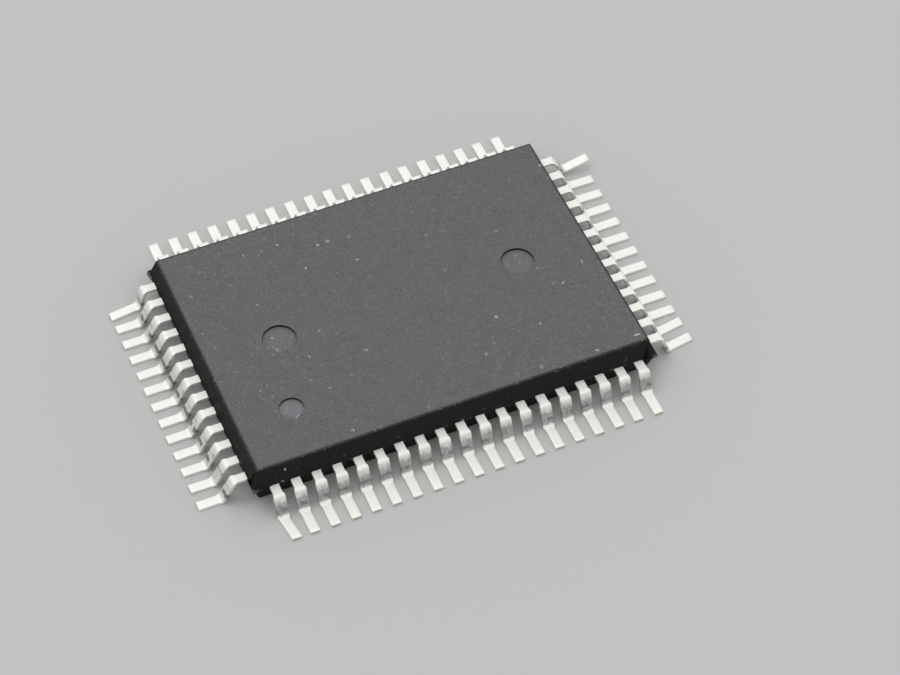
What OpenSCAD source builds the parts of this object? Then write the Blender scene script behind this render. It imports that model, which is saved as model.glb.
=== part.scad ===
// Integrated circuit in a quad flat pack, with gull-wing leads on four sides.
// A moulded body holds the cut and formed lead frame, the die on its paddle and the bond wires.
// Millimetres. Origin in the middle of the seating plane, +X along the long side, +Z up.

/* [Body] */
// Length of the body at its parting line
body_l = 20; // [18:0.1:24]
// Width of the body at its parting line
body_w = 14; // [13:0.1:18]
// Height of the moulding above the leads
upper_h = 0.95; // [0.85:0.01:1.6]
// Height of the moulding below the leads
lower_h = 0.95; // [0.7:0.01:1.6]
// Gap between the seating plane and the underside
standoff = 0.1; // [0.05:0.01:0.4]
// Draft of the four walls, in degrees
draft = 15.5; // [3:0.5:20]
// Width of the ledge that the mould leaves at the parting line
ledge = 0.08; // [0.02:0.01:0.15]
// Radius of the edges round the top and the underside
edge_r = 0.1; // [0.03:0.01:0.2]
// Length of the broken mould gate at the rear left corner
gate_l = 0.6; // [0.3:0.05:0.7]
// How far the broken mould gate stands out
gate_out = 0.1; // [0.05:0.01:0.2]

/* [Marks] */
// Diameter of the round ejector marks
ejector_d = 1.6; // [1:0.1:2.4]
// Distance between the two ejector marks of a face
ejector_gap = 12; // [8:0.1:14]
// Depth of the ejector marks
ejector_depth = 0.13; // [0.05:0.01:0.2]
// Diameter of the index mark beside the first lead
index_d = 1.15; // [0.6:0.05:1.6]
// Distance of the index mark from the two nearest edges
index_inset = 3.05; // [2:0.05:4]
// Depth of the index mark
index_depth = 0.12; // [0.05:0.01:0.2]

/* [Leads] */
// Distance between neighbouring leads
pitch = 1; // [0.9:0.01:1.3]
// Least distance from the last lead of a row to the corner
end_margin = 0.9; // [0.8:0.01:1.2]
// Thickness of the lead frame
lead_t = 0.15; // [0.1:0.01:0.2]
// Reach of the leads past the body
lead_reach = 2.35; // [2:0.01:2.8]
// Straight length of the shoulder
shoulder_l = 0.5; // [0.3:0.01:0.6]
// Slope of the riser, in degrees
riser_angle = 70; // [55:1:85]
// Bend radius at the knee, at mid thickness
knee_r = 0.16; // [0.12:0.01:0.3]
// Bend radius at the heel, at mid thickness
heel_r = 0.3; // [0.15:0.01:0.35]
// Width of the shoulder where it leaves the body
shoulder_w = 0.44; // [0.25:0.01:0.5]
// Width of the riser
riser_w = 0.55; // [0.4:0.01:0.65]
// Width of the foot
foot_w = 0.46; // [0.3:0.01:0.55]
// Length over which a lead widens at its knee and narrows again at its heel
flare_l = 0.12; // [0.05:0.01:0.2]

/* [Bent leads] */
// How far the rear lead of the right row is lifted at its knee, in degrees
splay = 15; // [0:1:20]
// Slope of the risers in the left row, which is bent outwards, in degrees
left_riser = 60; // [55:1:85]
// Slope of the riser of the rear lead in the left row, in degrees
steep_riser = 78; // [60:1:88]
// Sideways bend of the first foot in the front and left rows
skew = 0.15; // [0:0.01:0.3]
// Sideways bend of the front feet in the right row
right_skew = 0.18; // [0:0.01:0.3]
// How many front feet of the right row are bent sideways
right_bent = 2; // [0:1:4]

/* [Lead frame inside] */
// Length of the die paddle
paddle_l = 8.4; // [7:0.1:9.5]
// Width of the die paddle
paddle_w = 7; // [6:0.1:7.5]
// How far the paddle is pressed below the leads
downset = 0.2; // [0.1:0.01:0.4]
// Width of the tie bars
tie_w = 0.25; // [0.15:0.01:0.35]
// Length of the slope of a tie bar
tie_slope_l = 0.5; // [0.3:0.05:0.8]
// Gap between the paddle and the inner ends of the leads
finger_gap = 0.4; // [0.3:0.01:0.6]
// Width of a lead at its inner end
tip_w = 0.24; // [0.15:0.01:0.28]
// Distance from the last inner end of a row to the corner of the paddle
tip_corner = 0.3; // [0.25:0.01:0.5]

/* [Die] */
// Length of the die
die_l = 6.6; // [5:0.1:7]
// Width of the die
die_w = 5.4; // [4:0.1:5.8]
// Thickness of the die
die_t = 0.35; // [0.2:0.01:0.45]
// Thickness of the adhesive under the die
attach_t = 0.03; // [0.02:0.01:0.06]
// How far the adhesive stands out past the die
attach_out = 0.15; // [0.05:0.01:0.3]

/* [Bond wires] */
// Diameter of the wire
wire_d = 0.033; // [0.025:0.001:0.05]
// Diameter of the ball on the die
ball_d = 0.09; // [0.06:0.005:0.12]
// Height of the ball on the die
ball_h = 0.02; // [0.015:0.005:0.04]
// Height of the arch of a wire above the straight line between its ends
loop_h = 0.3; // [0.2:0.01:0.4]
// Distance from the balls to the edge of the die
pad_inset = 0.12; // [0.08:0.01:0.2]
// Distance from the last ball of a row to the corner of the die
pad_corner = 0.3; // [0.2:0.01:0.5]
// Distance from a wire's end to the inner end of its lead
stitch_inset = 0.15; // [0.1:0.01:0.25]

/* [Hidden] */

$fn = 48;
bend_steps = 4;
edge_steps = 3;
// Length by which cutting shapes run past what they cut
past = 1;
// Length by which the plan of a lead runs past its toe
toe_past = 0.25;
// Angle by which a wire is drawn past its seats, before they trim it flat
end_turn = 4;

MOULD_BLACK = [0.13, 0.13, 0.14];
TIN = [0.86, 0.86, 0.83];
FRAME_METAL = [0.72, 0.66, 0.58];
ADHESIVE = [0.75, 0.75, 0.72];
SILICON = [0.33, 0.36, 0.42];
GOLD = [0.93, 0.75, 0.30];

// Heights above the seating plane
body_z = standoff;
lead_z = body_z + lower_h;
lead_top = lead_z + lead_t;
body_top = lead_top + upper_h;
paddle_z = lead_z - downset;
attach_z = paddle_z + lead_t;
die_z = attach_z + attach_t;
die_top = die_z + die_t;

// The four rows. In a row's own frame, u runs outwards from the edge of the body and v along it.
function row_turn(row) = row == "right" ? 0 : row == "rear" ? 90 : row == "left" ? 180 : 270;
function on_long_side(row) = row == "front" || row == "rear";
function across(row, long, wide) = (on_long_side(row) ? wide : long) / 2;
function along(row, long, wide) = (on_long_side(row) ? long : wide) / 2;

function row_count(row) = floor(2 * (along(row, body_l, body_w) - end_margin) / pitch + 0.001) + 1;
function lead_v(row, i) = (i - (row_count(row) - 1) / 2) * pitch;
function row_reach(row) = lead_v(row, row_count(row) - 1);

// Bent leads as found: the rest are regular
function lead_splay(row, i) = row == "right" && i == row_count(row) - 1 ? splay : 0;
function lead_riser(row, i) = row != "left" ? riser_angle : i == 0 ? steep_riser : left_riser;
function lead_skew(row, i) =
    row == "right" && i < right_bent ? right_skew
    : (row == "front" || row == "left") && i == 0 ? skew
    : 0;

// Side view of a lead: shoulder, knee, riser, heel and foot
function riser_l(slope) = (lead_z - (knee_r + heel_r) * (1 - cos(slope))) / sin(slope);
function heel_u(slope) = shoulder_l + (knee_r + heel_r) * sin(slope) + riser_l(slope) * cos(slope);
function foot_l(slope) = lead_reach - heel_u(slope);

// One edge of the side view, at a distance up from mid thickness
function lead_edge(up, inner_l, slope, lift) =
    let (mid_z = lead_z + lead_t / 2)
    let (dip = slope - lift)
    let (knee = [shoulder_l, mid_z - knee_r])
    let (riser_end = knee + knee_r * [sin(dip), cos(dip)] + riser_l(slope) * [cos(dip), -sin(dip)])
    let (heel = riser_end + heel_r * [sin(dip), cos(dip)])
    let (foot_start = heel - (heel_r - up) * [-sin(lift), cos(lift)])
    concat(
        [[-inner_l, mid_z + up]],
        [for (k = [0 : bend_steps])
            knee + (knee_r + up) * [sin(dip * k / bend_steps), cos(dip * k / bend_steps)]],
        [for (k = [0 : bend_steps])
            let (a = dip - slope * k / bend_steps)
            heel - (heel_r - up) * [sin(a), cos(a)]],
        [foot_start + foot_l(slope) * [cos(lift), sin(lift)]]);

function reversed(points) = [for (k = [len(points) - 1 : -1 : 0]) points[k]];

// Inside the body each lead narrows and fans in to its end beside the paddle
function finger_l(row) = across(row, body_l, body_w) - across(row, paddle_l, paddle_w) - finger_gap;
function fan(row) = (along(row, paddle_l, paddle_w) - tip_corner) / row_reach(row);
function finger_v(row, i, depth) = lead_v(row, i) * (1 + (fan(row) - 1) * depth / finger_l(row));

// Distances along a lead, its middle line and half its width, from past the toe to the inner end
function lead_stations(row, i) =
    let (v = lead_v(row, i))
    let (slope = lead_riser(row, i))
    let (knee_u = shoulder_l + knee_r * sin(slope) / 2)
    let (run = (foot_l(slope) + toe_past) / foot_l(slope))
    [[lead_reach + toe_past, v + lead_skew(row, i) * run, foot_w / 2],
     [heel_u(slope), v, foot_w / 2],
     [heel_u(slope) - flare_l, v, riser_w / 2],
     [knee_u, v, riser_w / 2],
     [max(ledge, knee_u - flare_l), v, shoulder_w / 2],
     [0, v, shoulder_w / 2],
     [-finger_l(row), finger_v(row, i, finger_l(row)), tip_w / 2]];

module in_row(row) {
    rotate(row_turn(row)) translate([across(row, body_l, body_w), 0, 0]) children();
}

module lead_plan(row, i) {
    stations = lead_stations(row, i);
    polygon(concat(
        [for (s = stations) [s[0], s[1] + s[2]]],
        [for (s = reversed(stations)) [s[0], s[1] - s[2]]]));
}

module lead_side(row, i) {
    slope = lead_riser(row, i);
    lift = lead_splay(row, i);
    polygon(concat(
        lead_edge(lead_t / 2, finger_l(row), slope, lift),
        reversed(lead_edge(-lead_t / 2, finger_l(row), slope, lift))));
}

module lead(row, i) {
    fan_room = 2 * body_l;
    intersection() {
        rotate([90, 0, 0]) linear_extrude(fan_room, center = true) lead_side(row, i);
        translate([0, 0, -past]) linear_extrude(lead_top + 2 * past) lead_plan(row, i);
    }
}

module leads(row) {
    color(TIN) in_row(row) for (i = [0 : row_count(row) - 1]) lead(row, i);
}

// Room that the leads take up in the moulding
module lead_pockets(row) {
    in_row(row) for (i = [0 : row_count(row) - 1])
        translate([0, 0, lead_z]) linear_extrude(lead_t) lead_plan(row, i);
}

// Upright section of the moulding: drafted halves, the ledge between them and rounded edges
function wall_edge(half) =
    let (edge_back = edge_r * tan((90 - draft) / 2))
    let (low = half - ledge - lower_h * tan(draft) - edge_back)
    let (high = half - ledge - upper_h * tan(draft) - edge_back)
    let (swing = (90 - draft) / edge_steps)
    concat(
        [for (k = [0 : edge_steps])
            [low, body_z + edge_r] + edge_r * [cos(-90 + k * swing), sin(-90 + k * swing)]],
        [[half - ledge, lead_z], [half, lead_z], [half, lead_top], [half - ledge, lead_top]],
        [for (k = [0 : edge_steps])
            [high, body_top - edge_r] + edge_r * [cos(draft + k * swing), sin(draft + k * swing)]]);

module wall_section(half) {
    edge = wall_edge(half);
    polygon(concat(edge, [for (p = reversed(edge)) [-p[0], p[1]]]));
}

module moulded_block() {
    intersection() {
        rotate([90, 0, 0]) linear_extrude(2 * body_w, center = true) wall_section(body_l / 2);
        rotate([90, 0, 90]) linear_extrude(2 * body_l, center = true) wall_section(body_w / 2);
    }
}

module gate_stub() {
    root = ledge;
    translate([-body_l / 2, body_w / 2, lead_z]) linear_extrude(lead_t)
        polygon([[root, 0], [-gate_out, -gate_l / 8], [-gate_out, -gate_l / 2], [0, -gate_l], [root, -gate_l]]);
}

module round_mark(x, y, d, depth) {
    translate([x, y, body_top - depth]) cylinder(d = d, h = depth + past);
}

module ejector_marks() {
    for (x = [-ejector_gap / 2, ejector_gap / 2]) {
        round_mark(x, 0, ejector_d, ejector_depth);
        translate([x, 0, body_z - past]) cylinder(d = ejector_d, h = ejector_depth + past);
    }
}

module index_mark() {
    round_mark(index_inset - body_l / 2, index_inset - body_w / 2, index_d, index_depth);
}

module body() {
    color(MOULD_BLACK) difference() {
        union() {
            moulded_block();
            gate_stub();
        }
        ejector_marks();
        index_mark();
        for (row = ["front", "rear", "left", "right"]) {
            lead_pockets(row);
            wires(row);
        }
        die_paddle();
        die_attach();
        die();
    }
}

// Side view of a tie bar, from the corner of the paddle out to the corner of the body
module tie_side(length) {
    slope_u = length / 4;
    top = [[-tie_w, attach_z], [slope_u, attach_z], [slope_u + tie_slope_l, lead_top], [length + past, lead_top]];
    polygon(concat(top, [for (p = reversed(top)) p - [0, lead_t]]));
}

module tie_bar() {
    gap_x = (body_l - paddle_l) / 2;
    gap_y = (body_w - paddle_w) / 2;
    translate([paddle_l / 2, paddle_w / 2, 0]) rotate(atan2(gap_y, gap_x)) rotate([90, 0, 0])
        linear_extrude(tie_w, center = true) tie_side(norm([gap_x, gap_y]));
}

module die_paddle() {
    color(FRAME_METAL) {
        translate([-paddle_l / 2, -paddle_w / 2, paddle_z]) cube([paddle_l, paddle_w, lead_t]);
        intersection() {
            for (flip_x = [0, 1], flip_y = [0, 1]) mirror([flip_x, 0, 0]) mirror([0, flip_y, 0]) tie_bar();
            translate([-body_l / 2, -body_w / 2, 0]) cube([body_l, body_w, body_top]);
        }
    }
}

module die_attach() {
    attach_l = die_l + 2 * attach_out;
    attach_w = die_w + 2 * attach_out;
    color(ADHESIVE) translate([-attach_l / 2, -attach_w / 2, attach_z]) cube([attach_l, attach_w, attach_t]);
}

module die() {
    color(SILICON) translate([-die_l / 2, -die_w / 2, die_z]) cube([die_l, die_w, die_t]);
}

// A wire from its ball at the origin, arched over to a lead at a distance along +X
module wire_run(distance) {
    chord = [distance, lead_top - die_top];
    chord_l = norm(chord);
    arch_r = (chord_l * chord_l / 4 + loop_h * loop_h) / (2 * loop_h);
    half_turn = asin(chord_l / 2 / arch_r);
    upright = [-chord.y, chord.x] / chord_l;
    centre = chord / 2 + (loop_h - arch_r) * upright;
    sweep = 2 * (half_turn + end_turn);
    translate([0, 0, die_top]) cylinder(d = ball_d, h = ball_h);
    difference() {
        translate([centre.x, 0, die_top + centre.y]) rotate([90, 0, 0])
            rotate(atan2(upright.y, upright.x) - sweep / 2)
            rotate_extrude(angle = sweep) translate([arch_r, 0]) circle(d = wire_d);
        translate([distance / 2 - 2 * past, -past / 2, die_top - past]) cube([2 * past, past, past]);
        translate([distance / 2, -past / 2, lead_top - past]) cube([2 * past, past, past]);
    }
}

module wire(row, i) {
    pad_u = across(row, die_l, die_w) - across(row, body_l, body_w) - pad_inset;
    pad_v = lead_v(row, i) * (along(row, die_l, die_w) - pad_corner) / row_reach(row);
    end_depth = finger_l(row) - stitch_inset;
    span = [-end_depth - pad_u, finger_v(row, i, end_depth) - pad_v];
    translate([pad_u, pad_v, 0]) rotate(atan2(span.y, span.x)) wire_run(norm(span));
}

module wires(row) {
    color(GOLD) in_row(row) for (i = [0 : row_count(row) - 1]) wire(row, i);
}

body();
leads("front");  // front_leads
leads("rear");  // rear_leads
leads("left");  // left_leads
leads("right");  // right_leads
die_paddle();
die_attach();
die();
wires("front");  // front_wires
wires("rear");  // rear_wires
wires("left");  // left_wires
wires("right");  // right_wires
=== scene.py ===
"""Finish of an integrated circuit in a quad flat pack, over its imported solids.

The moulding and the four rows of formed leads are modelled again at a fine scale, in the place of
their solids. The die, paddle, adhesive and bond wires inside keep their solids and get a finish.
Metres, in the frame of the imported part: +X along the long side, +Z up, origin on the seating plane.
"""

import math
import random

import bmesh
import bpy
from bpy.props import FloatProperty, FloatVectorProperty, IntProperty, PointerProperty
from bpy.types import Operator, Panel, PropertyGroup
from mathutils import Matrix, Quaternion, Vector, noise


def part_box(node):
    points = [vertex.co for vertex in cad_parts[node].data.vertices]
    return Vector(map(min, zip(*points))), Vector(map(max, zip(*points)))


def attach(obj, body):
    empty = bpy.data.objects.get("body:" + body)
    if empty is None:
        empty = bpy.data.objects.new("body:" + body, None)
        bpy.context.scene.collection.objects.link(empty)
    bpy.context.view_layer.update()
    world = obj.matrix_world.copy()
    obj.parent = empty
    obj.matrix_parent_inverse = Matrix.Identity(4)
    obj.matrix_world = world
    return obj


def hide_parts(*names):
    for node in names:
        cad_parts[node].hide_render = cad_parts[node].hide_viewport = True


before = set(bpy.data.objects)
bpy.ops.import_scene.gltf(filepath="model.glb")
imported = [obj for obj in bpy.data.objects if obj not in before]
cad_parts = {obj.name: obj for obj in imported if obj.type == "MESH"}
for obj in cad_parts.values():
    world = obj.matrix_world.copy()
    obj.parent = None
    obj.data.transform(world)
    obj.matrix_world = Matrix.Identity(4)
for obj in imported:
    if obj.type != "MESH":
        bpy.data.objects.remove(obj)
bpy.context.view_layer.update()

bl_info = {
    "name": "Quad flat pack finish",
    "version": (1, 0, 0),
    "blender": (4, 5, 0),
    "location": "3D View > Sidebar > Flat pack",
    "description": "Models and finishes the moulding, the leads and the inside of a quad flat pack",
    "category": "Object",
}

MM = 0.001
BODY_LOW, BODY_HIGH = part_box("body")
LEAD_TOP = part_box("front_leads")[1].z
LEAD_REACH = BODY_LOW.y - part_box("front_leads")[0].y

# The rows of leads and how far each is turned from the row that leaves towards +X
ROW_TURNS = {"right": 0.0, "rear": 90.0, "left": 180.0, "front": 270.0}

# How dark a reflection of the shaded floor is painted on the lower risers of each row, and how much the
# forming tool scuffed them
ROW_REFLECTIONS_AND_SCUFFS = {"right": 0.35, "rear": 0.9, "left": 0.35, "front": 0.9}

# Sockets of a Mix node that mixes colours
MIX_FACTOR, MIX_FIRST, MIX_SECOND, MIX_RESULT = 0, 6, 7, 2


# Properties

def length(name, description, default):
    return FloatProperty(
        name=name, description=description, default=default, unit="LENGTH", precision=5)


def angle(name, description, degrees):
    return FloatProperty(
        name=name, description=description, default=math.radians(degrees), subtype="ANGLE")


def colour(name, description, default):
    return FloatVectorProperty(
        name=name, description=description, default=default, size=3, min=0.0, max=1.0, subtype="COLOR")


def number(name, description, default):
    return FloatProperty(name=name, description=description, default=default)


def count(name, description, default):
    return IntProperty(name=name, description=description, default=default, min=1)


class MouldingSizes(PropertyGroup):
    """Sizes of the moulding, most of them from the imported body."""
    length: length("Length", "Length at the parting line", 2 * BODY_HIGH.x)
    width: length("Width", "Width at the parting line", 2 * BODY_HIGH.y)
    top: length("Top", "Height of the top face", BODY_HIGH.z)
    underside: length("Underside", "Height of the underside", BODY_LOW.z)
    parting_top: length("Parting top", "Height of the upper face of the ledge", LEAD_TOP)
    parting_h: length("Parting height", "Height of the ledge", 0.15 * MM)
    draft: angle("Draft", "Draft of the four walls", 15.5)
    ledge: length("Ledge", "Width of the ledge at the parting line", 0.08 * MM)
    edge_r: length("Edge radius", "Radius round the top and the underside", 0.1 * MM)
    ledge_r: length("Ledge radius", "Radius of the ledge's edges", 0.018 * MM)
    root_r: length("Root radius", "Radius between a wall and the ledge", 0.03 * MM)
    corner_r: length("Corner radius", "Radius of the upright corners", 0.07 * MM)
    gate_l: length("Gate length", "Length of the broken gate at the rear left corner", 0.6 * MM)
    gate_out: length("Gate", "How far the broken gate stands out", -BODY_LOW.x - BODY_HIGH.x)
    cells_long: count("Cells along", "Mesh cells along the flat faces", 180)
    cells_wide: count("Cells across", "Mesh cells across the flat faces", 124)
    row_step: length("Row step", "Height of the mesh rows on the walls", 0.09 * MM)


class MarkSizes(PropertyGroup):
    """Sizes of the round marks in the moulding."""
    ejector_d: length("Ejector diameter", "Diameter of the ejector marks", 1.6 * MM)
    ejector_gap: length("Ejector gap", "Distance between the ejector marks of a face", 12 * MM)
    ejector_depth: length("Ejector depth", "Depth of the ejector marks", 0.13 * MM)
    index_d: length("Index diameter", "Diameter of the index mark", 1.15 * MM)
    index_inset: length("Index inset", "Distance of the index mark from the nearest edges", 3.05 * MM)
    index_depth: length("Index depth", "Depth of the index mark", 0.12 * MM)
    ejector_shade: number("Ejector shade", "How pale the ejector marks are beside the index mark", 0.4)
    rim_r: length("Rim radius", "Radius of the rim of a mark", 0.014 * MM)
    margin: length("Margin", "Width of the mesh that blends a mark into the face", 0.3 * MM)


class LeadSizes(PropertyGroup):
    """Sizes of the formed leads."""
    pitch: length("Pitch", "Distance between neighbouring leads", 1 * MM)
    thickness: length("Thickness", "Thickness of the lead frame", 0.15 * MM)
    reach: length("Reach", "Reach past the moulding", LEAD_REACH)
    shoulder_l: length("Shoulder", "Straight length of the shoulder", 0.5 * MM)
    riser_slope: angle("Riser slope", "Slope of the riser", 70)
    knee_r: length("Knee radius", "Bend radius at the knee, at mid thickness", 0.16 * MM)
    heel_r: length("Heel radius", "Bend radius at the heel, at mid thickness", 0.3 * MM)
    shoulder_w: length("Shoulder width", "Width where the lead leaves the moulding", 0.44 * MM)
    riser_w: length("Riser width", "Width of the riser", 0.55 * MM)
    foot_w: length("Foot width", "Width of the foot", 0.46 * MM)
    flare_l: length("Flare", "Length of the step in width at the knee and the heel", 0.12 * MM)
    tip_w: length("Tip width", "Width at the inner end", 0.24 * MM)
    top_roll: length("Top roll", "Radius that the punch leaves on the upper edges", 0.02 * MM)
    low_roll: length("Low roll", "Radius of the lower edges", 0.014 * MM)
    long_fan: number("Long fan", "Share to which the inner ends of a long row close up", 3.9 / 9)
    short_fan: number("Short fan", "Share to which the inner ends of a short row close up", 3.2 / 6)
    splay: angle("Splay", "Lift of the rear lead of the right row", 15)
    left_slope: angle("Left slope", "Slope of the risers in the left row, which is bent outwards", 60)
    steep_slope: angle("Steep slope", "Slope of the riser of the rear lead in the left row", 78)
    skew: length("Skew", "Sideways bend of the first foot in the front and left rows", 0.15 * MM)
    right_skew: length("Right skew", "Sideways bend of the front feet in the right row", 0.18 * MM)
    right_bent: count("Right bent", "How many front feet of the right row are bent sideways", 2)
    slope_spread: angle("Slope spread", "How much the riser slopes differ from lead to lead", 0.8)
    side_spread: length("Side spread", "How much the toes wander sideways", 0.02 * MM)


class FinishColours(PropertyGroup):
    """Colours of the finishes."""
    mould_face: colour("Mould face", "Matt faces of the moulding", (0.120, 0.119, 0.123))
    # Partly the walls' own colour and partly painted shade: far darker than the matt faces, for the light
    # that falls on the top and not on the walls
    mould_wall_with_shade: colour("Mould wall", "Walls of the moulding", (0.0095, 0.0097, 0.0096))
    mould_mark: colour("Mould mark", "Floors of the round marks", (0.188, 0.185, 0.198))
    mould_worn: colour("Mould worn", "Rubbed edges of the moulding", (0.26, 0.25, 0.24))
    mould_broken: colour("Mould broken", "Broken resin at the gate", (0.22, 0.165, 0.13))
    mould_flake: colour("Mould flake", "Pale resin where a flake came off", (0.66, 0.63, 0.58))
    dust: colour("Dust", "Dust and resin specks", (0.60, 0.60, 0.59))
    tin: colour("Tin", "Tin plating", (0.91, 0.90, 0.86))
    # Painted reflection of the shaded floor on the lower risers, and plating rubbed by the forming tool
    tin_scuffed: colour("Tin scuffed", "Plating rubbed by the forming tool", (0.34, 0.37, 0.355))
    # Painted reflection: dark lines above the heel, where the riser reflects the shade on the floor
    tin_reflection_line: colour("Tin crease", "Lines pressed above the heel", (0.10, 0.115, 0.105))
    tarnish: colour("Tarnish", "Tan spots on the plating", (0.42, 0.30, 0.17))
    bare_metal: colour("Bare metal", "Cut ends of the lead frame", (0.74, 0.70, 0.62))
    frame_metal: colour("Frame metal", "Rolled strip of the die paddle", (0.50, 0.42, 0.33))
    frame_cut: colour("Frame cut", "Dull cut ends of the tie bars", (0.095, 0.08, 0.07))
    adhesive: colour("Adhesive", "Silver-filled adhesive", (0.52, 0.52, 0.48))
    silicon: colour("Silicon", "Polished silicon", (0.09, 0.11, 0.15))
    aluminium: colour("Aluminium", "Tracks on the die", (0.62, 0.60, 0.55))
    gold: colour("Gold", "Bond wires", (0.85, 0.53, 0.08))


class StageSettings(PropertyGroup):
    """Floor, light and camera."""
    floor: colour("Floor", "Colour of the floor", (0.525, 0.525, 0.525))
    wall_dim: number("Dim wall", "Light from low before the part", 0.6)
    wall_bright: number("Bright wall", "Light from above and behind the part", 0.97)
    bright_turn: angle("Bright turn", "Turn of the brightest place from +Y towards +X", 35)
    bright_rise: angle("Bright rise", "Height of the brightest place above the horizon", 64)
    lamp_power: FloatProperty(
        name="Lamp power", description="Power of the softbox", default=0.75, unit="POWER")
    lamp_size: length("Lamp size", "Side of the softbox", 0.35)
    lamp_side: length("Lamp side", "How far the softbox stands to the right of the part", -0.18)
    lamp_back: length("Lamp back", "How far the softbox stands behind the part", 0.28)
    lamp_height: length("Lamp height", "Height of the softbox", 0.75)
    azimuth: angle("Azimuth", "Turn of the view from the front", -24.05)
    elevation: angle("Elevation", "Height of the view above the horizon", 51.16)
    roll: angle("Roll", "Tilt of the camera about its line of sight", 0.85)
    distance: length("Distance", "Distance of the camera from its aim", 131.9 * MM)
    aim_x: length("Aim X", "Where the camera looks, on the floor", 1.95 * MM)
    aim_y: length("Aim Y", "Where the camera looks, on the floor", -1.42 * MM)
    lens: FloatProperty(name="Lens", description="Focal length", default=112.26, unit="CAMERA")


class FlatPackSettings(PropertyGroup):
    """All that a user would change."""
    moulding: PointerProperty(type=MouldingSizes, name="Moulding", description="Sizes of the moulding")
    marks: PointerProperty(type=MarkSizes, name="Marks", description="Sizes of the round marks")
    leads: PointerProperty(type=LeadSizes, name="Leads", description="Sizes of the leads")
    colours: PointerProperty(type=FinishColours, name="Colours", description="Colours of the finishes")
    stage: PointerProperty(type=StageSettings, name="Stage", description="Floor, light and camera")


# Shader nodes

# Inputs of the shared effects that take vectors. The others take plain values
VECTOR_INPUTS = ("Vector", "Centre", "Radii")

# Heights of an effect between which its roughness changes
HEIGHT_LOW, HEIGHT_HIGH = 0.2, 0.8

# How the nodes of a tree are laid out
NODES_IN_LINE = 8
NODE_STEP_X, NODE_STEP_Y = 220, -260


def rgba(value):
    return (*value, 1.0)


class Graph:
    """Short ways to add nodes to a tree. An input takes a socket to link or a plain value."""

    def __init__(self, tree):
        self.tree = tree
        self.made = 0

    def add(self, kind, inputs=None, **settings):
        node = self.tree.nodes.new(kind)
        line, along = divmod(self.made, NODES_IN_LINE)
        node.location = (NODE_STEP_X * along, NODE_STEP_Y * line)
        self.made += 1
        for name, value in settings.items():
            setattr(node, name, value)
        for name, value in (inputs or {}).items():
            self.feed(node.inputs[name], value)
        return node

    def feed(self, socket, value):
        if isinstance(value, bpy.types.NodeSocket):
            self.tree.links.new(value, socket)
        else:
            socket.default_value = value

    def math(self, operation, first, second=0.0):
        return self.add("ShaderNodeMath", {0: first, 1: second}, operation=operation).outputs[0]

    def times(self, first, second):
        return self.math("MULTIPLY", first, second)

    def plus(self, first, second):
        return self.math("ADD", first, second)

    def vectors(self, operation, *inputs):
        return self.add("ShaderNodeVectorMath", dict(enumerate(inputs)), operation=operation).outputs

    def mix(self, factor, first, second, blend="MIX"):
        inputs = {MIX_FACTOR: factor, MIX_FIRST: first, MIX_SECOND: second}
        return self.add("ShaderNodeMix", inputs, data_type="RGBA", blend_type=blend).outputs[MIX_RESULT]

    def paint(self, shade, mask, colour):
        """A colour laid over a shade where the mask is strong."""
        return self.mix(mask, shade, rgba(colour))

    def shaded(self, shade, effect):
        """A shade that wavers as the effect does."""
        return self.mix(1.0, shade, effect["Shade"], "MULTIPLY")

    def span(self, value, low, high, to_low=0.0, to_high=1.0):
        """The value's place between low and high, eased at both ends."""
        inputs = {"Value": value, "From Min": low, "From Max": high, "To Min": to_low, "To Max": to_high}
        return self.add("ShaderNodeMapRange", inputs, interpolation_type="SMOOTHSTEP").outputs[0]

    def band(self, value, rise, fall):
        """One between two eased edges, and nothing beyond them."""
        return self.times(self.span(value, *rise), self.span(value, *fall))

    def swing(self, value, amount):
        """How far the value is from a half, times an amount."""
        return self.times(self.math("SUBTRACT", value, 0.5), amount)

    def roughness(self, effect, low, high):
        """Roughness that grows with the height of an effect."""
        return self.span(effect["Height"], HEIGHT_LOW, HEIGHT_HIGH, low, high)

    def noise(self, vector, scale, detail=2.0, roughness=0.5):
        """Noise at one scale, or at a scale for each axis."""
        if isinstance(scale, tuple):
            vector, scale = self.vectors("MULTIPLY", vector, scale)[0], 1.0
        inputs = {"Vector": vector, "Scale": scale, "Detail": detail, "Roughness": roughness}
        return self.add("ShaderNodeTexNoise", inputs).outputs[0]

    def attribute(self, name, output="Fac"):
        return self.add("ShaderNodeAttribute", attribute_name=name).outputs[output]

    def axis(self, vector, name):
        return self.add("ShaderNodeSeparateXYZ", {0: vector}).outputs[name]

    def upward(self):
        """How far the surface faces up."""
        return self.axis(self.add("ShaderNodeNewGeometry").outputs["Normal"], "Z")

    def millimetres(self):
        """Places on the piece, in millimetres."""
        place = self.add("ShaderNodeTexCoord").outputs["Object"]
        return self.vectors("MULTIPLY", place, (1 / MM,) * 3)[0]

    def effect(self, name, **inputs):
        """Outputs of a shared effect, placed with its own values."""
        return self.add("ShaderNodeGroup", inputs, node_tree=shared(name)).outputs

    def relief(self, height, depth, strength=1.0):
        """A normal for fine relief of that depth."""
        inputs = {"Height": height, "Distance": depth, "Strength": strength}
        return self.add("ShaderNodeBump", inputs).outputs["Normal"]


def surface_grain(graph, given):
    """Grain of a moulded, plated or cured surface: its height, and a shade that wavers about one."""
    fine = graph.noise(given["Vector"], given["Scale"], 3.0, 0.6)
    broad = graph.noise(given["Vector"], graph.times(given["Scale"], 0.16))
    both = graph.plus(graph.times(fine, 0.85), graph.times(broad, 0.15))
    return {"Height": fine, "Shade": graph.plus(graph.swing(both, given["Contrast"]), 1.0)}


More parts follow.
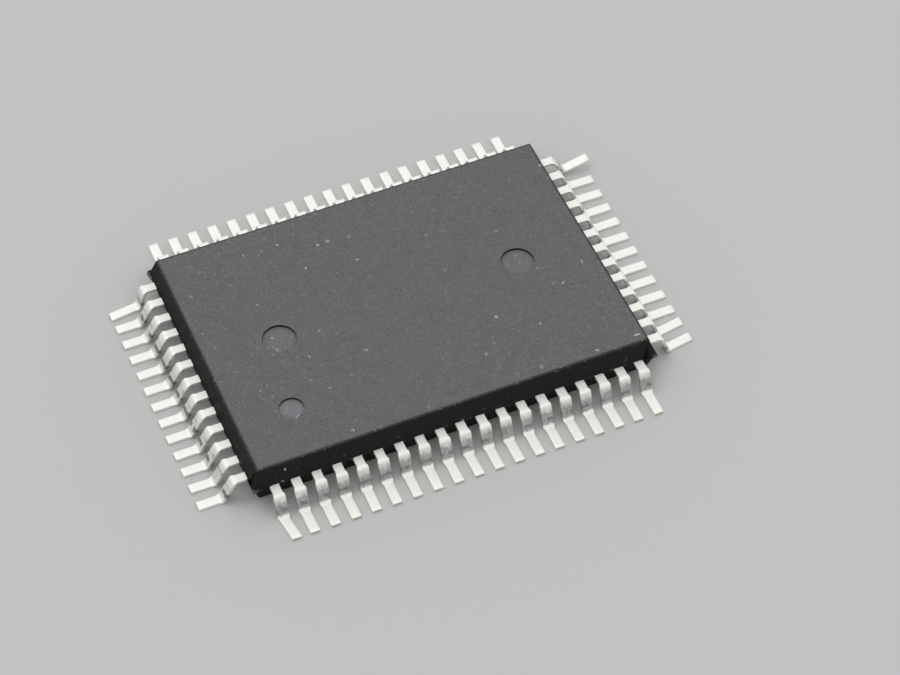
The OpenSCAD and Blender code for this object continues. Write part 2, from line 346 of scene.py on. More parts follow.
def scattered_specks(graph, given):
    """Scattered specks: a share of the cells of a loose net each hold one, of differing size."""
    wobble = graph.add("ShaderNodeTexNoise", {"Vector": given["Vector"], "Scale": 9.0}).outputs["Color"]
    shifted = graph.vectors("MULTIPLY_ADD", wobble, (0.32, 0.32, 0.32), given["Vector"])[0]
    cells = graph.add("ShaderNodeTexVoronoi", {"Vector": shifted, "Scale": given["Scale"]}).outputs
    draw = graph.add("ShaderNodeSeparateColor", {"Color": cells["Color"]}).outputs
    radius = graph.times(given["Size"], graph.span(draw["Green"], 0.0, 1.0, 0.35, 1.0))
    radius = graph.times(radius, given["Scale"])
    inside = graph.span(graph.math("DIVIDE", cells["Distance"], radius), 1.0, 0.5)
    held = graph.math("LESS_THAN", draw["Red"], given["Share"])
    strength = graph.times(held, graph.span(draw["Blue"], 0.3, 1.0, 0.25, 1.0))
    return {"Mask": graph.times(inside, strength)}


def drawn_streaks(graph, given):
    """Lines that rolling or drawing leaves along a strip: a height, and a shade that wavers about one."""
    fine = graph.noise(given["Vector"], (1.1, 42.0, 1.0), 2.0, 0.55)
    broad = graph.noise(given["Vector"], (0.5, 9.0, 1.0), 1.0)
    height = graph.plus(graph.times(fine, 0.6), graph.times(broad, 0.4))
    return {"Height": height, "Shade": graph.plus(graph.swing(height, given["Contrast"]), 1.0)}


def rubbed_edges(graph, given):
    """Small rubbed places along edges, where the Edge mask is strong and a noise lets them through."""
    patches = graph.span(graph.noise(given["Vector"], 5.0, 4.0, 0.7), 0.6, 0.7)
    return {"Mask": graph.times(patches, given["Edge"])}


def lost_flake(graph, given):
    """One ragged patch, where a flake came off: an ellipsoid about Centre with those Radii."""
    away = graph.vectors("SUBTRACT", given["Vector"], given["Centre"])[0]
    reach = graph.vectors("LENGTH", graph.vectors("DIVIDE", away, given["Radii"])[0])["Value"]
    ragged = graph.swing(graph.noise(given["Vector"], 11.0, 3.0), 1.4)
    return {"Mask": graph.span(graph.plus(reach, ragged), 1.0, 0.6)}


# The shared effects, each with its inputs
EFFECTS = {
    "surface_grain": (surface_grain, ("Vector", "Scale", "Contrast")),
    "scattered_specks": (scattered_specks, ("Vector", "Scale", "Share", "Size")),
    "drawn_streaks": (drawn_streaks, ("Vector", "Contrast")),
    "rubbed_edges": (rubbed_edges, ("Vector", "Edge")),
    "lost_flake": (lost_flake, ("Vector", "Centre", "Radii")),
}


def shared(name):
    """The node group of an effect, built the first time it is asked for."""
    tree = bpy.data.node_groups.get(name)
    if tree:
        return tree
    build, inputs = EFFECTS[name]
    tree = bpy.data.node_groups.new(name, "ShaderNodeTree")
    for socket in inputs:
        kind = "NodeSocketVector" if socket in VECTOR_INPUTS else "NodeSocketFloat"
        tree.interface.new_socket(name=socket, in_out="INPUT", socket_type=kind)
    graph = Graph(tree)
    results = build(graph, graph.add("NodeGroupInput").outputs)
    for socket in results:
        tree.interface.new_socket(name=socket, in_out="OUTPUT", socket_type="NodeSocketFloat")
    graph.add("NodeGroupOutput", results)
    return tree


class Finish(Graph):
    """A material and its nodes."""

    def __init__(self, name):
        self.material = bpy.data.materials.new(name)
        self.material.use_nodes = True
        super().__init__(self.material.node_tree)

    def complete(self, **sockets):
        """Feeds the shader's sockets, or sets those that are the same all over. Returns the material."""
        shader = next(n for n in self.tree.nodes if n.type == "BSDF_PRINCIPLED")
        for name, value in sockets.items():
            self.feed(shader.inputs[name.replace("_", " ")], value)
        return self.material


# Finishes

# Flakes lost from the moulding, as found: where, radii along X, Y and Z, how deep, and how pale
CHIPS = [
    ((9.26 * MM, -6.20 * MM, 2.15 * MM), (0.19 * MM, 0.05 * MM, 0.1 * MM), 0.02 * MM, 0.85),
    ((9.50 * MM, 5.14 * MM, 2.13 * MM), (0.09 * MM, 0.13 * MM, 0.1 * MM), 0.03 * MM, 0.3),
    ((-8.37 * MM, -6.76 * MM, 1.75 * MM), (0.06 * MM, 0.1 * MM, 0.1 * MM), 0.02 * MM, 0.6),
]


def mould_compound(colours):
    """Black moulding compound: matt faces; smoother walls, whose far darker colour is partly painted shade;
    rubbed edges, broken resin and dust.
    """
    finish = Finish("mould_compound")
    place = finish.millimetres()
    flat = finish.attribute("flat")
    mark_floor = finish.attribute("mark_floor")
    grain = finish.effect("surface_grain", Vector=place, Scale=11.0, Contrast=1.25)
    # Where flat is low (the walls, the ledge and the walls of the marks) the far darker wall colour is laid.
    # It is partly the smoother wall finish and partly painted shade, for light that falls on the top and not
    # on the walls.
    shade = finish.mix(flat, rgba(colours.mould_wall_with_shade), rgba(colours.mould_face))
    shade = finish.shaded(finish.paint(shade, mark_floor, colours.mould_mark), grain)

    rubbed = finish.effect("rubbed_edges", Vector=place, Edge=finish.attribute("edge"))
    shade = finish.paint(shade, finish.times(rubbed["Mask"], 0.45), colours.mould_worn)
    crumbs = finish.span(finish.noise(place, 6.0, 3.0), 0.25, 0.6)
    broken = finish.times(finish.attribute("broken"), crumbs)
    shade = finish.paint(shade, broken, colours.mould_broken)
    for centre, radii, _, paleness in CHIPS:
        flake = finish.effect(
            "lost_flake", Vector=place, Centre=Vector(centre) / MM, Radii=Vector(radii) / MM)
        shade = finish.paint(shade, finish.times(flake["Mask"], paleness), colours.mould_flake)

    drift = finish.span(finish.noise(place, 0.16), 0.38, 0.66, 0.2, 0.9)
    left_end = finish.span(finish.axis(place, "X"), -3.0, -7.0, 0.0, 0.95)
    drift = finish.math("MAXIMUM", drift, left_end)
    fine = finish.effect("scattered_specks", Vector=place, Scale=3.6, Share=drift, Size=0.08)
    coarse = finish.effect("scattered_specks", Vector=place, Scale=1.2, Share=drift, Size=0.11)
    dust = finish.math("MAXIMUM", fine["Mask"], finish.times(coarse["Mask"], 1.6))
    settled = finish.span(finish.span(finish.upward(), 0.3, 0.9), 0.0, 1.0, 0.2, 0.9)
    dust = finish.times(finish.times(dust, 0.5), settled)
    shade = finish.paint(shade, dust, colours.dust)
    # Small brownish flecks scattered over the walls.
    wall_flecks = finish.effect("scattered_specks", Vector=place, Scale=2.4, Share=0.45, Size=0.09)
    on_walls = finish.span(flat, 0.3, 0.0, 0.0, 0.25)
    shade = finish.paint(shade, finish.times(wall_flecks["Mask"], on_walls), colours.mould_broken)

    gloss = finish.span(flat, 0.0, 1.0, 0.72, 0.66)
    gloss = finish.math("SUBTRACT", gloss, finish.times(mark_floor, 0.1))
    return finish.complete(
        Base_Color=shade, Specular_IOR_Level=0.2, Roughness=finish.plus(gloss, finish.times(dust, 0.2)),
        Normal=finish.relief(grain["Height"], 0.012 * MM, 0.6))


def tin_plate(colours):
    """Satin tin on formed leads: streaks along the strip; scuffs and a painted reflection of the shaded floor
    on the lower risers; painted dark reflection lines above the heel; tan spots.
    """
    finish = Finish("tin_plate")
    place = finish.millimetres()
    lie = finish.attribute("lie", "Vector")
    stage = finish.attribute("stage")
    scuff = finish.attribute("scuff")
    streaks = finish.effect("drawn_streaks", Vector=lie, Contrast=0.22)
    grain = finish.effect("surface_grain", Vector=place, Scale=20.0, Contrast=0.12)

    ragged = finish.noise(lie, (3.0, 6.0, 1.0), 4.0, 0.6)
    # The lower risers are painted a dark greenish grey: a painted reflection of the shaded floor before them,
    # stronger in the rows given more. The rubs are scuffs from the forming tool.
    painted_floor_reflection = finish.band(finish.plus(stage, finish.swing(ragged, 0.9)), (2.95, 3.5), (4.4, 4.05))
    rubs = finish.span(finish.noise(lie, (5.0, 7.0, 1.0), 4.0, 0.65), 0.5, 0.62)
    rubs = finish.times(rubs, finish.band(stage, (3.2, 3.6), (4.3, 4.0)))
    scuffed = finish.plus(finish.times(painted_floor_reflection, 0.75), finish.times(rubs, 0.3))
    scuffed = finish.times(scuffed, scuff)

    # Dark lines painted across the riser above the heel: a painted reflection of the shade on the floor.
    bent = finish.plus(stage, finish.swing(ragged, 0.3))
    broken = finish.span(finish.noise(lie, (0.2, 2.6, 1.0), 2.0), 0.38, 0.5)
    lower = finish.times(finish.band(bent, (3.58, 3.7), (3.92, 3.8)), broken)
    upper = finish.band(bent, (3.22, 3.3), (3.46, 3.38))
    upper = finish.times(upper, finish.span(broken, 0.0, 1.0, 0.45, 0.1))
    painted_reflection_lines = finish.math("MAXIMUM", lower, upper)
    painted_reflection_lines = finish.times(painted_reflection_lines, finish.span(scuff, 0.35, 0.9, 0.75, 0.45))
    spots = finish.effect("scattered_specks", Vector=place, Scale=1.5, Share=0.3, Size=0.06)["Mask"]

    shade = finish.shaded(finish.shaded(rgba(colours.tin), streaks), grain)
    shade = finish.paint(shade, scuffed, colours.tin_scuffed)
    shade = finish.paint(shade, painted_reflection_lines, colours.tin_reflection_line)
    shade = finish.paint(shade, finish.times(spots, 0.7), colours.tarnish)
    gloss = finish.plus(finish.roughness(streaks, 0.58, 0.72), finish.times(scuffed, 0.1))
    height = finish.plus(finish.times(streaks["Height"], 0.6), grain["Height"])
    return finish.complete(
        Base_Color=shade, Roughness=gloss, Metallic=finish.span(spots, 0.0, 1.0, 1.0, 0.2),
        Normal=finish.relief(height, 0.004 * MM, 0.5))


def cut_metal(colours):
    """Bare cut ends of the leads: sheared, dull and a little rusty."""
    finish = Finish("cut_metal")
    place = finish.millimetres()
    grain = finish.effect("surface_grain", Vector=place, Scale=24.0, Contrast=0.9)
    rust = finish.times(finish.span(finish.noise(place, 5.0, 3.0), 0.45, 0.7), 0.25)
    shade = finish.shaded(rgba(colours.bare_metal), grain)
    return finish.complete(
        Base_Color=finish.paint(shade, rust, colours.tarnish), Metallic=0.85,
        Roughness=finish.roughness(grain, 0.42, 0.62), Normal=finish.relief(grain["Height"], 0.008 * MM))


def rolled_strip(colours):
    """Bare lead frame strip of the paddle, with rolling lines along X and dull cut ends."""
    finish = Finish("rolled_strip")
    place = finish.millimetres()
    streaks = finish.effect("drawn_streaks", Vector=place, Contrast=0.35)
    grain = finish.effect("surface_grain", Vector=place, Scale=9.0, Contrast=0.2)
    shade = finish.shaded(finish.shaded(rgba(colours.frame_metal), streaks), grain)
    end = BODY_HIGH.x / MM
    cut = finish.span(finish.math("ABSOLUTE", finish.axis(place, "X")), end - 0.5, end - 0.3)
    return finish.complete(
        Base_Color=finish.paint(shade, cut, colours.frame_cut),
        Metallic=finish.span(cut, 0.0, 1.0, 1.0, 0.3),
        Roughness=finish.roughness(streaks, 0.3, 0.5), Normal=finish.relief(streaks["Height"], 0.004 * MM))


def silver_adhesive(colours):
    """Cured adhesive with silver flakes."""
    finish = Finish("silver_adhesive")
    place = finish.millimetres()
    grain = finish.effect("surface_grain", Vector=place, Scale=11.0, Contrast=0.5)
    flakes = finish.effect("scattered_specks", Vector=place, Scale=9.0, Share=0.6, Size=0.05)["Mask"]
    shade = finish.shaded(rgba(colours.adhesive), grain)
    return finish.complete(
        Base_Color=finish.paint(shade, flakes, colours.tin), Metallic=finish.times(flakes, 0.9),
        Roughness=finish.roughness(grain, 0.45, 0.65), Normal=finish.relief(grain["Height"], 0.01 * MM))


def patterned_silicon(colours):
    """Silicon die with blocks of fine tracks on its top and sawn sides."""
    finish = Finish("patterned_silicon")
    place = finish.millimetres()
    black, white, grey = (rgba((level,) * 3) for level in (0.0, 1.0, 0.6))
    blocks = finish.add("ShaderNodeTexBrick", {
        "Vector": place, "Scale": 1.6, "Mortar Size": 0.03, "Color1": black, "Color2": white, "Mortar": grey})
    tracks = finish.add("ShaderNodeTexWave", {"Vector": place, "Scale": 5.0, "Distortion": 1.5})
    up = finish.upward()
    pattern = finish.mix(0.5, blocks.outputs["Color"], tracks.outputs["Fac"])
    metal = finish.times(pattern, finish.span(up, 0.7, 0.95))
    grain = finish.effect("surface_grain", Vector=place, Scale=16.0, Contrast=0.3)
    shade = finish.mix(metal, rgba(colours.silicon), rgba(colours.aluminium))
    return finish.complete(
        Base_Color=finish.shaded(shade, grain), Metallic=metal,
        Roughness=finish.span(up, 0.7, 0.95, 0.55, 0.2),
        Normal=finish.relief(grain["Height"], 0.003 * MM, 0.4))


def drawn_gold(colours):
    """Drawn gold wire."""
    finish = Finish("drawn_gold")
    streaks = finish.effect("drawn_streaks", Vector=finish.millimetres(), Contrast=0.25)
    return finish.complete(
        Base_Color=finish.shaded(rgba(colours.gold), streaks), Metallic=1.0,
        Roughness=finish.roughness(streaks, 0.18, 0.32),
        Normal=finish.relief(streaks["Height"], 0.001 * MM, 0.4))


# Meshes

def put(name, data):
    """A new object in the scene."""
    thing = bpy.data.objects.new(name, data)
    bpy.context.scene.collection.objects.link(thing)
    return thing


class Skin:
    """Points, faces and masks of a piece, for wear and for painted shade and reflection, gathered before they
    become a mesh.
    """

    def __init__(self, **usual):
        self.points = []
        self.faces = []
        self.face_materials = []
        self.usual = usual
        self.masks = {mask: [] for mask in usual}

    def point(self, place, **values):
        """Adds a point, with the usual value of each mask that isn't given."""
        self.points.append(Vector(place))
        for mask, value in {**self.usual, **values}.items():
            self.masks[mask].append(value)
        return len(self.points) - 1

    def face(self, corners, flip=False, material=0):
        """Adds a face, without the corners that repeat."""
        kept = list(dict.fromkeys(corners))
        if len(kept) > 2:
            self.faces.append(kept[::-1] if flip else kept)
            self.face_materials.append(material)

    def bridge(self, outer, inner, flip=False):
        """Faces between two closed rings of points."""
        for k in range(len(outer)):
            nxt = (k + 1) % len(outer)
            self.face((outer[k], outer[nxt], inner[nxt], inner[k]), flip)


def new_piece(name, skin, materials):
    """A smooth mesh piece with its masks for wear and for painted shade and reflection as point attributes,
    riding on the part.
    """
    mesh = bpy.data.meshes.new(name)
    mesh.from_pydata(skin.points, [], skin.faces)
    for mask, values in skin.masks.items():
        kind, field = ("FLOAT_VECTOR", "vector") if hasattr(values[0], "__len__") else ("FLOAT", "value")
        layer = mesh.attributes.new(mask, kind, "POINT")
        for place, value in zip(layer.data, values):
            setattr(place, field, value)
    for material in materials:
        mesh.materials.append(material)
    mesh.polygons.foreach_set("use_smooth", [True] * len(skin.faces))
    mesh.polygons.foreach_set("material_index", skin.face_materials)
    sheet = bmesh.new()
    sheet.from_mesh(mesh)
    bmesh.ops.recalc_face_normals(sheet, faces=sheet.faces)
    sheet.to_mesh(mesh)
    sheet.free()
    piece = put(name, mesh)
    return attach(piece, "root")


def turned(u, v, degrees):
    """A place of a row's own frame, turned into the part's frame."""
    turn = math.radians(degrees)
    return u * math.cos(turn) - v * math.sin(turn), u * math.sin(turn) + v * math.cos(turn)


# How much of the matt finish is left at the edges of the flat faces; the rest is the darker wall colour,
# partly painted shade
EDGE_FLAT = 0.4

# Share by which the mesh lines of the flat faces close up towards the corners
GRADING = 0.5
CORNER_STEPS = 4
ARC_STEPS = 4

# Rings of mesh round a mark, as shares of the way to its rim, and on its floor, as shares of its radius
BLEND_RINGS = (0.4, 0.75)
FLOOR_RINGS = (0.8, 0.55, 0.3)


def graded(cells, half):
    """Mesh lines from -half to half, closer together near the ends."""
    shares = [2 * k / cells - 1 for k in range(cells + 1)]
    return [half * ((1 - GRADING) * s + GRADING * math.sin(s * math.pi / 2)) for s in shares]


def fillet(before, corner, after, radius):
    """Points of the arc that rounds a corner of an outline."""
    back = (before - corner).normalized()
    ahead = (after - corner).normalized()
    half_turn = back.angle(ahead) / 2
    tangent = radius / math.tan(half_turn)
    middle = corner + (back + ahead).normalized() * radius / math.sin(half_turn)
    start = (corner + back * tangent - middle).normalized()
    end = (corner + ahead * tangent - middle).normalized()
    return [middle + radius * start.slerp(end, k / ARC_STEPS) for k in range(ARC_STEPS + 1)]


def wall_outline(sizes):
    """The wall from the flat top's edge to the underside's, as (offset, height, edge, flat).

    Offsets are from the edge of the flat top. Edge and flat are shares of those finishes; where flat is low,
    the wall colour shows, and it is partly painted shade.
    """
    slope = math.tan(sizes.draft)
    edge_back = sizes.edge_r * math.tan((math.pi / 2 - sizes.draft) / 2)
    parting_low = sizes.parting_top - sizes.parting_h
    out = sizes.ledge + (sizes.top - sizes.parting_top) * slope + edge_back
    out_low = sizes.ledge + (parting_low - sizes.underside) * slope + edge_back
    corners = [
        (Vector((0.0, sizes.top)), 0.0),
        (Vector((edge_back, sizes.top)), sizes.edge_r),
        (Vector((out - sizes.ledge, sizes.parting_top)), sizes.root_r),
        (Vector((out, sizes.parting_top)), sizes.ledge_r),
        (Vector((out, parting_low)), sizes.ledge_r),
        (Vector((out - sizes.ledge, parting_low)), sizes.root_r),
        (Vector((out - out_low + edge_back, sizes.underside)), sizes.edge_r),
        (Vector((out - out_low, sizes.underside)), 0.0),
    ]
    outline = []
    begin = corners[0][0]
    last = len(corners) - 2
    for k in range(1, last + 1):
        at, radius = corners[k]
        arc = fillet(corners[k - 1][0], at, corners[k + 1][0], radius)
        rows = int((arc[0] - begin).length / sizes.row_step)
        outline += [(begin.lerp(arc[0], (row + 1) / (rows + 1)), 0.0, 0.0) for row in range(rows)]
        edge = 0.0 if radius == sizes.root_r else 1.0
        for step, place in enumerate(arc):
            share = step / ARC_STEPS
            flat = EDGE_FLAT * (1.0 - share if k == 1 else share if k == last else 0.0)
            outline.append((place, edge, flat))
        begin = arc[-1]
    return [(p.x, p.y, edge, flat) for p, edge, flat in outline], out


def border_ring(columns, rows):
    """Corners and sides round a flat face, as (column, row, direction angle, at a corner), anticlockwise."""
    last_c, last_r = len(columns) - 1, len(rows) - 1
    ring = []
    sides = [
        ([(last_c, r) for r in range(1, last_r)], (last_c, last_r)),
        ([(c, last_r) for c in range(last_c - 1, 0, -1)], (0, last_r)),
        ([(0, r) for r in range(last_r - 1, 0, -1)], (0, 0)),
        ([(c, 0) for c in range(1, last_c)], (last_c, 0)),
    ]
    for side, (places, corner) in enumerate(sides):
        heading = side * math.pi / 2
        ring += [(place, heading, False) for place in places]
        ring += [(corner, heading + k * math.pi / 2 / CORNER_STEPS, True) for k in range(CORNER_STEPS + 1)]
    return ring


def offset_from(heading, at_corner, distance, corner_r):
    """How far a point of the border moves out for a ring at that distance."""
    direction = Vector((math.cos(heading), math.sin(heading)))
    if not at_corner:
        return direction * distance
    radius = min(distance, corner_r)
    quarter = math.floor(heading / (math.pi / 2) - 1e-6) * math.pi / 2 + math.pi / 4
    diagonal = Vector((math.cos(quarter), math.sin(quarter))) * math.sqrt(2)
    return diagonal * (distance - radius) + direction * radius


def mark_block(columns, rows, centre, reach):
    """The block of mesh cells that a round mark takes up."""
    def around(lines, middle):
        low = max(k for k, line in enumerate(lines) if line <= middle - reach)
        high = min(k for k, line in enumerate(lines) if line >= middle + reach)
        return low, high
    return *around(columns, centre[0]), *around(rows, centre[1])


def mark_profile(diameter, depth, rim_r, shade):
    """Section of a round mark from its rim to its floor, as (radius, depth, shade of the floor, flat). Flat
    falls to nothing on the mark's wall, which takes the dark wall colour: painted shade in the recess, on top
    of its smoother finish.
    """
    radius = diameter / 2
    shares = [k / ARC_STEPS for k in range(ARC_STEPS + 1)]
    arc = [share * math.pi / 2 for share in shares]
    # The rim and the foot fade the matt finish out and back in, so the mark's wall takes the dark wall
    # colour. This is painted shade in the recess as well as its smoother finish.
    rim = [(radius + rim_r * (1 - math.sin(a)), rim_r * (1 - math.cos(a)), 0.0, 1.0 - share)
           for share, a in zip(shares, arc)]
    foot = [(radius - rim_r * (1 - math.cos(a)), depth - rim_r * (1 - math.sin(a)), shade * share, share)
            for share, a in zip(shares, arc)]
    return rim + foot + [(radius * share, depth, shade, 1.0) for share in FLOOR_RINGS]


def sink_mark(shell, border, centre, z, profile, down):
    """Fills a block with a round mark whose rings turn from the block's outline into circles."""
    rim_radius = profile[0][0]
    headings = [(shell.points[i].xy - centre).normalized() for i in border]
    outer = border
    for share in BLEND_RINGS:
        ring = [shell.point((*shell.points[i].xy.lerp(centre + heading * rim_radius, share), z))
                for i, heading in zip(border, headings)]
        shell.bridge(outer, ring, down < 0)
        outer = ring
    for radius, depth, shade, flat in profile:
        ring = [shell.point((*(centre + heading * radius), z - down * depth), flat=flat, mark_floor=shade)
                for heading in headings]
        shell.bridge(outer, ring, down < 0)
        outer = ring
    middle = shell.point((*centre, z - down * depth), mark_floor=shade)
    for k in range(len(outer)):
        shell.face((outer[k], outer[(k + 1) % len(outer)], middle), down < 0)


def flat_face(shell, columns, rows, z, marks, up):
    """A flat face as a grid with its round marks. Returns the point at each place of the grid."""
    blocks = [mark_block(columns, rows, centre, reach) for centre, reach, profile in marks]
    grid = {}
    for c, x in enumerate(columns):
        for r, y in enumerate(rows):
            if not any(c0 < c < c1 and r0 < r < r1 for c0, c1, r0, r1 in blocks):
                grid[c, r] = shell.point((x, y, z))
    for c in range(len(columns) - 1):
        for r in range(len(rows) - 1):
            if not any(c0 <= c < c1 and r0 <= r < r1 for c0, c1, r0, r1 in blocks):
                shell.face((grid[c, r], grid[c + 1, r], grid[c + 1, r + 1], grid[c, r + 1]), up < 0)
    for (c0, c1, r0, r1), (centre, reach, profile) in zip(blocks, marks):
        border = [grid[c, r0] for c in range(c0, c1)]
        border += [grid[c1, r] for r in range(r0, r1)]
        border += [grid[c, r1] for c in range(c1, c0, -1)]
        border += [grid[c0, r] for r in range(r1, r0, -1)]
        sink_mark(shell, border, centre, z, profile, up)
    return grid


# How far the moulding wavers on its walls and its ledge
WALL_WAVER = 0.0005 * MM
LEDGE_WAVER = 0.012 * MM
WAVER_SCALE = 1.3 / MM

# The broken gate: shares of its length over which it rises and falls, and the scale of its roughness
GATE_RISE, GATE_FALL = 0.125, 0.5
GATE_SCALE = 9 / MM


def gate_reach(sizes, y):
    """How far the broken gate stands out of the left wall at a place along it."""
    into = (sizes.width / 2 - y) / sizes.gate_l
    if not 0.0 < into < 1.0:
        return 0.0
    rise = min(1.0, into / GATE_RISE)
    fall = min(1.0, (1.0 - into) / GATE_FALL)
    return sizes.gate_out * rise * fall


def wall_ring(shell, border, columns, rows, sizes, out, outline_point):
    """One ring of points round the moulding."""
    distance, z, edge, flat = outline_point
    on_ledge = distance > out - sizes.ledge / 2
    ring = []
    for (c, r), heading, at_corner in border:
        base = Vector((columns[c], rows[r]))
        place = base + offset_from(heading, at_corner, distance, sizes.corner_r)
        outward = Vector((math.cos(heading), math.sin(heading)))
        waver = noise.noise(Vector((*place, z)) * WAVER_SCALE)
        amount = LEDGE_WAVER if on_ledge else WALL_WAVER * (1.0 - flat)
        place -= outward * amount * (0.5 + 0.5 * waver)
        gate = gate_reach(sizes, place.y) if on_ledge and outward.x < -0.9 else 0.0
        place += outward * gate * (0.75 + 0.5 * noise.noise(Vector((*place, z)) * GATE_SCALE))
        broken = min(1.0, gate / sizes.gate_out * 2)
        ring.append(shell.point((*place, z), flat=flat, edge=edge, broken=broken))
    return ring


def lose_flake(shell, centre, radii, depth):
    """Hollows the moulding where a small flake came off."""
    centre = Vector(centre)
    for k, place in enumerate(shell.points):
        away = place - centre
        reach = math.hypot(*(gap / radius for gap, radius in zip(away, radii)))
        if reach < 1.0:
            shell.points[k] = place - centre.normalized() * depth * (1.0 - reach * reach)


def moulding(sizes, marks):
    """The whole outer skin of the moulding."""
    shell = Skin(flat=1.0, edge=0.0, mark_floor=0.0, broken=0.0)
    outline, out = wall_outline(sizes)
    columns = graded(sizes.cells_long, sizes.length / 2 - out)
    rows = graded(sizes.cells_wide, sizes.width / 2 - out)
    ejector = mark_profile(marks.ejector_d, marks.ejector_depth, marks.rim_r, marks.ejector_shade)
    index = mark_profile(marks.index_d, marks.index_depth, marks.rim_r, 1.0)
    ejectors = [(Vector((side * marks.ejector_gap / 2, 0.0)), marks.ejector_d / 2 + marks.margin, ejector)
                for side in (-1, 1)]
    index_at = Vector((marks.index_inset - sizes.length / 2, marks.index_inset - sizes.width / 2))
    index_mark = (index_at, marks.index_d / 2 + marks.margin, index)

    top = flat_face(shell, columns, rows, sizes.top, ejectors + [index_mark], 1)
    under = flat_face(shell, columns, rows, sizes.underside, ejectors, -1)
    border = border_ring(columns, rows)
    upper = [top[place] for place, heading, at_corner in border]
    for outline_point in outline[1:-1]:
        lower = wall_ring(shell, border, columns, rows, sizes, out, outline_point)
        shell.bridge(upper, lower, True)
        upper = lower
    shell.bridge(upper, [under[place] for place, heading, at_corner in border], True)
    for face in (top, under):
        for place, heading, at_corner in border:
            shell.masks["edge"][face[place]] = 0.5
            shell.masks["flat"][face[place]] = EDGE_FLAT
    for centre, radii, depth, _ in CHIPS:
        lose_flake(shell, centre, radii, depth)
    return shell


# Leads

# Steps along each stretch of a lead: finger, shoulder, knee, riser, heel and foot
STRETCH_STEPS = (6, 8, 9, 7, 12, 6)
ROLL_STEPS = 3
FACE_STEPS = 4
TOE_ROUND = 0.012 * MM
LEAD_SEED = 11

# How far apart the streaks of neighbouring leads are taken, and the finish of their cut ends
STREAK_SHIFT = 3.7
CUT_END = 1


def riser_length(sizes, slope):
    drop = LEAD_TOP - sizes.thickness
    return (drop - (sizes.knee_r + sizes.heel_r) * (1 - math.cos(slope))) / math.sin(slope)


def heel_place(sizes, slope):
    """Distance from the moulding to the end of the heel's bend."""
    bends = (sizes.knee_r + sizes.heel_r) * math.sin(slope)
    return sizes.shoulder_l + bends + riser_length(sizes, slope) * math.cos(slope)


def upright(turn):
    """Direction at right angles to a lead that dips by that turn."""
    return Vector((math.sin(turn), math.cos(turn)))


def centre_line(sizes, inner_l, slope, lift):
    """Places along the middle of a lead as (u, z, tilt, stage). Each stretch of it is one stage."""
    mid_z = LEAD_TOP - sizes.thickness / 2
    dip = slope - lift
    knee = Vector((sizes.shoulder_l, mid_z - sizes.knee_r))
    riser_start = knee + sizes.knee_r * upright(dip)
    riser_end = riser_start + riser_length(sizes, slope) * Vector((math.cos(dip), -math.sin(dip)))
    heel = riser_end + sizes.heel_r * upright(dip)
    foot_start = heel - sizes.heel_r * upright(-lift)
    foot_l = sizes.reach - heel_place(sizes, slope)
    toe = foot_start + foot_l * Vector((math.cos(lift), math.sin(lift)))

    def bend(middle, radius, turn):
        return *(middle + radius * upright(turn)), turn

    stretches = (
        lambda share: (-inner_l * (1 - share), mid_z, 0.0),
        lambda share: (sizes.shoulder_l * share, mid_z, 0.0),
        lambda share: bend(knee, sizes.knee_r, dip * share),
        lambda share: (*riser_start.lerp(riser_end, share), dip),
        lambda share: bend(heel, -sizes.heel_r, dip - slope * share),
        lambda share: (*foot_start.lerp(toe, share), -lift),
    )
    line = []
    for stage, (steps, place) in enumerate(zip(STRETCH_STEPS, stretches)):
        line += [(*place(k / steps), stage + k / steps) for k in range(steps)]
    return line + [(*toe, -lift, float(len(stretches)))]


def between(stops, at):
    """The value at a place on a chain of straight stretches, given as (place, value) in order."""
    for (low, first), (high, second) in zip(stops, stops[1:]):
        if at <= high:
            share = max(0.0, (at - low) / (high - low))
            return first + (second - first) * share
    return stops[-1][1]


def lead_width(sizes, inner_l, slope, u):
    knee_u = sizes.shoulder_l + sizes.knee_r * math.sin(slope) / 2
    heel_u = heel_place(sizes, slope)
    return between([
        (-inner_l, sizes.tip_w), (0.0, sizes.shoulder_w), (knee_u - sizes.flare_l, sizes.shoulder_w),
        (knee_u, sizes.riser_w), (heel_u - sizes.flare_l, sizes.riser_w), (heel_u, sizes.foot_w),
        (sizes.reach, sizes.foot_w)], u)


def lead_section(width, thickness, top_roll, low_roll):
    """Outline of a lead's section as (across, up, distance round it), from the middle of its lower face."""
    half, rise = width / 2, thickness / 2
    corners = [(half, -rise, low_roll, -90), (half, rise, top_roll, 0), (-half, rise, top_roll, 90),
               (-half, -rise, low_roll, 180)]
    places = [Vector((0.0, -rise))]
    for x, y, roll, start in corners:
        middle = Vector((x - math.copysign(roll, x), y - math.copysign(roll, y)))
        for k in range(ROLL_STEPS + 1):
            turn = math.radians(start + 90 * k / ROLL_STEPS)
            arc = middle + roll * Vector((math.cos(turn), math.sin(turn)))
            if start == 90 and k == 0:
                last = places[-1]
                places += [last.lerp(arc, step / FACE_STEPS) for step in range(1, FACE_STEPS)]
            places.append(arc)
    run = [0.0]
    for a, b in zip(places, places[1:]):
        run.append(run[-1] + (b - a).length)
    return [(p.x, p.y, r) for p, r in zip(places, run)]


